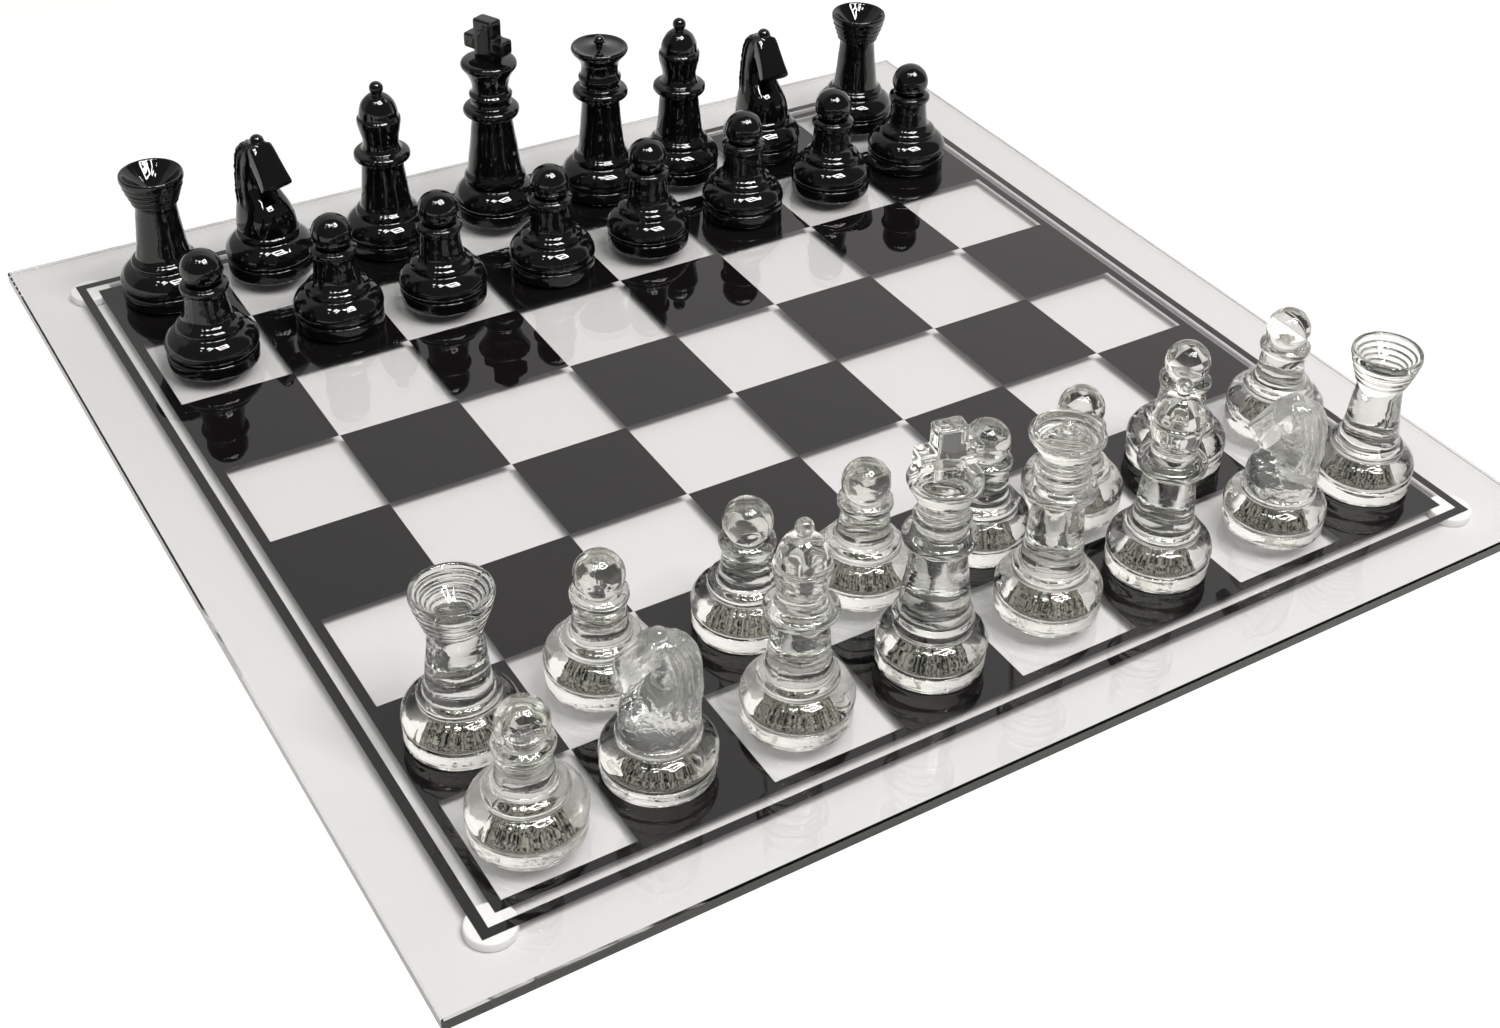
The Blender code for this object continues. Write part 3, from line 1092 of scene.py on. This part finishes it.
def add_window(name, azimuth, elevation, size, radiance, colour, bars):
    """A window of soft light: flat bars, each given as left, right, low and high shares."""
    distance = 2.4
    towards = direction(azimuth, elevation)
    side = np.cross(towards, [0, 0, 1])
    side = side / np.linalg.norm(side)
    up = np.cross(side, towards)
    middle = towards * distance
    for index, (left, right, low, high) in enumerate(bars):
        lamp = bpy.data.lights.new(f"{name}_{index}", "AREA")
        lamp.shape = "RECTANGLE"
        lamp.size = (right - left) * size
        lamp.size_y = (high - low) * size
        lamp.energy = radiance * math.pi * lamp.size * lamp.size_y
        lamp.color = colour
        obj = bpy.data.objects.new(f"{name}_{index}", lamp)
        bpy.context.scene.collection.objects.link(obj)
        place = middle + side * ((left + right) / 2) * size + up * ((low + high) / 2) * size
        back = towards
        basis = np.stack([-side, up, back], axis=1)
        matrix = np.eye(4)
        matrix[:3, :3] = basis
        matrix[:3, 3] = place
        obj.matrix_world = Matrix(matrix.tolist())


def add_world(look):
    """A dim room with a bright far wall that rises past the top, brighter to the left."""
    world = bpy.data.worlds.new("studio")
    bpy.context.scene.world = world
    world.use_nodes = True
    nodes, links = world.node_tree.nodes, world.node_tree.links
    background = nodes["Background"]
    place = nodes.new("ShaderNodeTexCoord")

    def band(axis, low, high, dark, bright):
        dot = nodes.new("ShaderNodeVectorMath")
        dot.operation = "DOT_PRODUCT"
        dot.inputs[1].default_value = axis
        links.new(place.outputs["Generated"], dot.inputs[0])
        ramp = nodes.new("ShaderNodeMapRange")
        ramp.interpolation_type = "SMOOTHSTEP"
        ramp.inputs["From Min"].default_value = low
        ramp.inputs["From Max"].default_value = high
        ramp.inputs["To Min"].default_value = dark
        ramp.inputs["To Max"].default_value = bright
        links.new(dot.outputs["Value"], ramp.inputs["Value"])
        return ramp.outputs["Result"]

    wall_axis = 0.966 * direction(VIEW_AZIMUTH - 18.0, 0.0) + np.array([0, 0, -0.259])
    wall = band(wall_axis, -0.03, 0.12, 0.0, look.backdrop)
    left = band(direction(VIEW_AZIMUTH - 90.0, 0.0), -0.4, 0.9, 1.1, 0.35)
    product = nodes.new("ShaderNodeMath")
    product.operation = "MULTIPLY_ADD"
    links.new(wall, product.inputs[0])
    links.new(left, product.inputs[1])
    product.inputs[2].default_value = look.room
    background.inputs["Color"].default_value = (1.0, 0.975, 0.96, 1.0)
    links.new(product.outputs["Value"], background.inputs["Strength"])


def add_camera(look):
    """The camera, looking down at the board from its near left corner."""
    camera = bpy.data.cameras.new("camera")
    camera.sensor_width = 36.0
    camera.lens = look.lens
    camera.shift_x = -0.0533
    camera.shift_y = -0.0893
    obj = bpy.data.objects.new("camera", camera)
    bpy.context.scene.collection.objects.link(obj)
    right = np.array([0.84127184, -0.53902591, 0.04138541])
    down = np.array([-0.27368011, -0.49065508, -0.8272586])
    ahead = np.array([0.46621978, 0.684623, -0.56029497])
    matrix = np.eye(4)
    matrix[:3, :3] = np.stack([right, -down, -ahead], axis=1)
    matrix[:3, 3] = (-0.2711, -0.4505, 0.3610 + 0.0058)
    obj.matrix_world = Matrix(matrix.tolist())
    bpy.context.scene.camera = obj


class CHESS_OT_stage(bpy.types.Operator):
    """Set up the pale table and the soft studio light."""

    bl_idname = "chess.stage"
    bl_label = "Studio stage"

    def execute(self, context):
        look = context.scene.chess_stage
        add_floor(look)
        pane = [(-0.5, -0.34, -0.5, 0.5), (0.34, 0.5, -0.5, 0.5), (-0.34, 0.34, 0.36, 0.5)]
        pane += [(-0.34, 0.34, -0.08, 0.08), (-0.34, 0.34, -0.5, -0.36)]
        behind = VIEW_AZIMUTH + 180.0
        add_window("right_window", behind - 50.0, 65.0, 0.95, look.window, (1.0, 0.98, 0.96), pane)
        spots = [(-0.5, -0.38, -0.2, 0.5), (-0.28, -0.06, 0.1, 0.5), (0.1, 0.2, -0.5, -0.36)]
        spots += [(0.2, 0.44, 0.1, 0.3)]
        add_window("left_window", behind + 27.0, 64.0, 0.9, look.window * 0.8, (0.93, 1.0, 0.93), spots)
        add_world(look)
        context.scene.view_settings.view_transform = "Standard"
        return {"FINISHED"}


class CHESS_OT_camera(bpy.types.Operator):
    """Place the camera."""

    bl_idname = "chess.camera"
    bl_label = "Camera"

    def execute(self, context):
        add_camera(context.scene.chess_stage)
        return {"FINISHED"}


class CHESS_PT_panel(bpy.types.Panel):
    """Everything the set is made of, in the order it is made."""

    bl_idname = "CHESS_PT_panel"
    bl_label = "Chess Set"
    bl_space_type = "VIEW_3D"
    bl_region_type = "UI"
    bl_category = "Chess Set"

    def draw(self, context):
        for group in (context.scene.chess_board, context.scene.chess_men, context.scene.chess_stage):
            for key in group.bl_rna.properties.keys():
                if key not in ("name", "rna_type"):
                    self.layout.prop(group, key)
        for maker in MAKERS:
            self.layout.operator(maker.bl_idname)


MAKERS = (
    CHESS_OT_pane,
    CHESS_OT_print,
    CHESS_OT_feet,
    CHESS_OT_pawns,
    CHESS_OT_rooks,
    CHESS_OT_bishops,
    CHESS_OT_queens,
    CHESS_OT_kings,
    CHESS_OT_knights,
    CHESS_OT_stage,
    CHESS_OT_camera,
)
CLASSES = (ChessBoardLook, ChessMenLook, ChessStageLook, *MAKERS, CHESS_PT_panel)


def register():
    for each in CLASSES:
        bpy.utils.register_class(each)
    bpy.types.Scene.chess_board = PointerProperty(type=ChessBoardLook)
    bpy.types.Scene.chess_men = PointerProperty(type=ChessMenLook)
    bpy.types.Scene.chess_stage = PointerProperty(type=ChessStageLook)


def unregister():
    del bpy.types.Scene.chess_board
    del bpy.types.Scene.chess_men
    del bpy.types.Scene.chess_stage
    for each in reversed(CLASSES):
        bpy.utils.unregister_class(each)


def main():
    register()
    for maker in MAKERS:
        category, name = maker.bl_idname.split(".")
        getattr(getattr(bpy.ops, category), name)()


if __name__ == "__main__":
    main()
